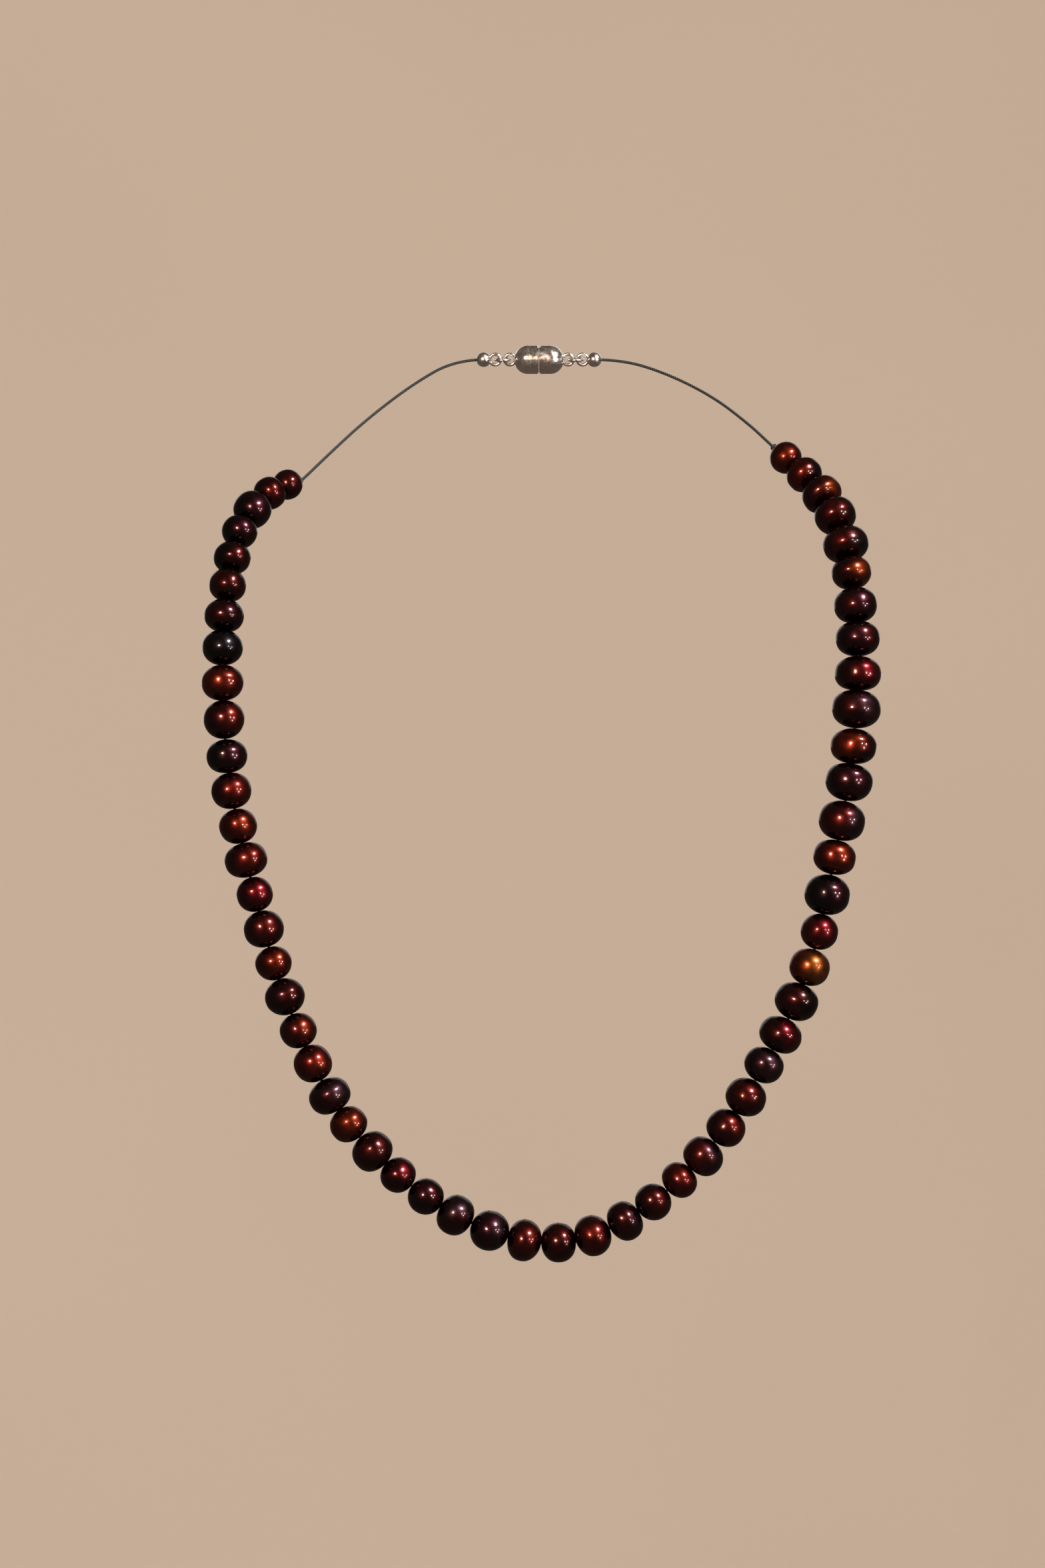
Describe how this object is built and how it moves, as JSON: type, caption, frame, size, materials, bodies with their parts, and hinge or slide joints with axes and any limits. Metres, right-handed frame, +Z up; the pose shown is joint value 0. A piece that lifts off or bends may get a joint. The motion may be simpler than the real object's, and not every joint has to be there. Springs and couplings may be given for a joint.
{
  "type": "pearl necklace",
  "caption": "Closely strung dark dyed potato pearls in a long oval drape on a thin cord, with bare cord and a magnetic clasp at the nape.",
  "frame": {"origin": "centre of the neck opening, at the level where the pearl row reaches the sides of the neck", "axes": "+Z up with the wearer upright, -Y the way the wearer faces, +X to the right as seen from the front"},
  "size_m": [0.1363, 0.1026, 0.1747],
  "materials": {
    "dyed_nacre": "polished nacre, dyed dark garnet, copper and plum",
    "dark_cord": "fine twisted cord, dark blue-grey, slightly waxed",
    "clasp_metal": "polished dark steel",
    "magnet_metal": "nickel plate"
  },
  "bodies": {
    "row_01": {"left_pearls_01": "dyed_nacre", "right_pearls_01": "dyed_nacre", "strand_cord_01": "dark_cord", "left_stop_knot": "dark_cord", "right_stop_knot": "dark_cord"},
    "row_02": {"left_pearls_02": "dyed_nacre", "right_pearls_02": "dyed_nacre", "strand_cord_02": "dark_cord"},
    "row_03": {"left_pearls_03": "dyed_nacre", "right_pearls_03": "dyed_nacre", "strand_cord_03": "dark_cord"},
    "row_04": {"left_pearls_04": "dyed_nacre", "right_pearls_04": "dyed_nacre", "strand_cord_04": "dark_cord"},
    "row_05": {"left_pearls_05": "dyed_nacre", "right_pearls_05": "dyed_nacre", "strand_cord_05": "dark_cord"},
    "row_06": {"left_pearls_06": "dyed_nacre", "right_pearls_06": "dyed_nacre", "strand_cord_06": "dark_cord"},
    "row_07": {"left_pearls_07": "dyed_nacre", "right_pearls_07": "dyed_nacre", "strand_cord_07": "dark_cord"},
    "row_08": {"left_pearls_08": "dyed_nacre", "right_pearls_08": "dyed_nacre", "strand_cord_08": "dark_cord"},
    "row_09": {"left_pearls_09": "dyed_nacre", "right_pearls_09": "dyed_nacre", "strand_cord_09": "dark_cord"},
    "row_10": {"left_pearls_10": "dyed_nacre", "right_pearls_10": "dyed_nacre", "strand_cord_10": "dark_cord"},
    "row_11": {"left_pearls_11": "dyed_nacre", "right_pearls_11": "dyed_nacre", "strand_cord_11": "dark_cord"},
    "row_12": {"left_pearls_12": "dyed_nacre", "right_pearls_12": "dyed_nacre", "strand_cord_12": "dark_cord"},
    "row_13": {"left_pearls_13": "dyed_nacre", "right_pearls_13": "dyed_nacre", "strand_cord_13": "dark_cord"},
    "row_14": {"left_pearls_14": "dyed_nacre", "right_pearls_14": "dyed_nacre", "strand_cord_14": "dark_cord"},
    "left_tail": {"left_tail_cord": "dark_cord", "left_end_knot": "dark_cord", "left_bead_tip": "clasp_metal"},
    "left_ring": {"left_jump_ring": "clasp_metal"},
    "left_clasp": {"left_clasp_cup": "clasp_metal", "left_clasp_magnet": "magnet_metal"},
    "right_tail": {"right_tail_cord": "dark_cord", "right_end_knot": "dark_cord", "right_bead_tip": "clasp_metal"},
    "right_ring": {"right_jump_ring": "clasp_metal"},
    "right_clasp": {"right_clasp_cup": "clasp_metal", "right_clasp_magnet": "magnet_metal"}
  },
  "joints": [
    {"name": "row_02_lift", "type": "hinge", "parent": "row_01", "child": "row_02", "pos_m": [-0.00062, 0.00023, -0.00579], "axis": [-0.9995, 0.012, -0.029], "range_deg": [0, 12]},
    {"name": "row_03_lift", "type": "hinge", "parent": "row_02", "child": "row_03", "pos_m": [-0.00035, -0.00902, -0.01385], "axis": [-0.9997, 0.0013, -0.025], "range_deg": [0, 12]},
    {"name": "row_04_lift", "type": "hinge", "parent": "row_03", "child": "row_04", "pos_m": [-0.00012, -0.01659, -0.02449], "axis": [-0.9998, -0.0002, -0.0192], "range_deg": [0, 12]},
    {"name": "row_05_lift", "type": "hinge", "parent": "row_04", "child": "row_05", "pos_m": [0.00001, -0.02258, -0.03705], "axis": [-0.9999, -0.006, -0.0129], "range_deg": [0, 12]},
    {"name": "row_06_lift", "type": "hinge", "parent": "row_05", "child": "row_06", "pos_m": [-0.00001, -0.02704, -0.05117], "axis": [-0.9998, -0.0071, -0.016], "range_deg": [0, 12]},
    {"name": "row_07_lift", "type": "hinge", "parent": "row_06", "child": "row_07", "pos_m": [-0.00003, -0.03063, -0.06502], "axis": [-0.9999, -0.0026, -0.0127], "range_deg": [0, 12]},
    {"name": "row_08_lift", "type": "hinge", "parent": "row_07", "child": "row_08", "pos_m": [0.0001, -0.03383, -0.07886], "axis": [-1, -0.0014, -0.0042], "range_deg": [0, 12]},
    {"name": "row_09_lift", "type": "hinge", "parent": "row_08", "child": "row_09", "pos_m": [0.00033, -0.03674, -0.09306], "axis": [-1, -0.0009, 0.0049], "range_deg": [0, 12]},
    {"name": "row_10_lift", "type": "hinge", "parent": "row_09", "child": "row_10", "pos_m": [-0.00002, -0.03988, -0.1064], "axis": [-0.9999, -0.0006, 0.0101], "range_deg": [0, 12]},
    {"name": "row_11_lift", "type": "hinge", "parent": "row_10", "child": "row_11", "pos_m": [-0.00042, -0.04279, -0.11886], "axis": [-1, -0.001, 0.0004], "range_deg": [0, 12]},
    {"name": "row_12_lift", "type": "hinge", "parent": "row_11", "child": "row_12", "pos_m": [-0.0006, -0.04504, -0.13064], "axis": [-0.9999, 0.0004, 0.014], "range_deg": [0, 12]},
    {"name": "row_13_lift", "type": "hinge", "parent": "row_12", "child": "row_13", "pos_m": [-0.00017, -0.04697, -0.14012], "axis": [-0.9998, 0.0024, 0.0194], "range_deg": [0, 12]},
    {"name": "row_14_lift", "type": "hinge", "parent": "row_13", "child": "row_14", "pos_m": [0.00009, -0.04854, -0.1476], "axis": [-0.9992, 0.0159, 0.0369], "range_deg": [0, 12]},
    {"name": "left_tail_swing", "type": "hinge", "parent": "row_01", "child": "left_tail", "pos_m": [-0.04945, 0.01128, -0.00481], "axis": [0, 0, 1], "range_deg": [0, 70]},
    {"name": "left_ring_spin", "type": "hinge", "parent": "left_tail", "child": "left_ring", "pos_m": [-0.0079, 0.0465, 0.017], "axis": [0, 0, 1], "continuous": true},
    {"name": "left_clasp_roll", "type": "hinge", "parent": "left_tail", "child": "left_clasp", "pos_m": [-0.003, 0.0465, 0.017], "axis": [1, 0, 0], "range_deg": [-15, 15]},
    {"name": "right_tail_swing", "type": "hinge", "parent": "row_01", "child": "right_tail", "pos_m": [0.04799, 0.00855, 0.00281], "axis": [0, 0, -1], "range_deg": [0, 70]},
    {"name": "right_ring_spin", "type": "hinge", "parent": "right_tail", "child": "right_ring", "pos_m": [0.0079, 0.0465, 0.017], "axis": [0, 0, 1], "continuous": true},
    {"name": "right_clasp_roll", "type": "hinge", "parent": "right_tail", "child": "right_clasp", "pos_m": [0.003, 0.0465, 0.017], "axis": [1, 0, 0], "range_deg": [-15, 15]}
  ]
}
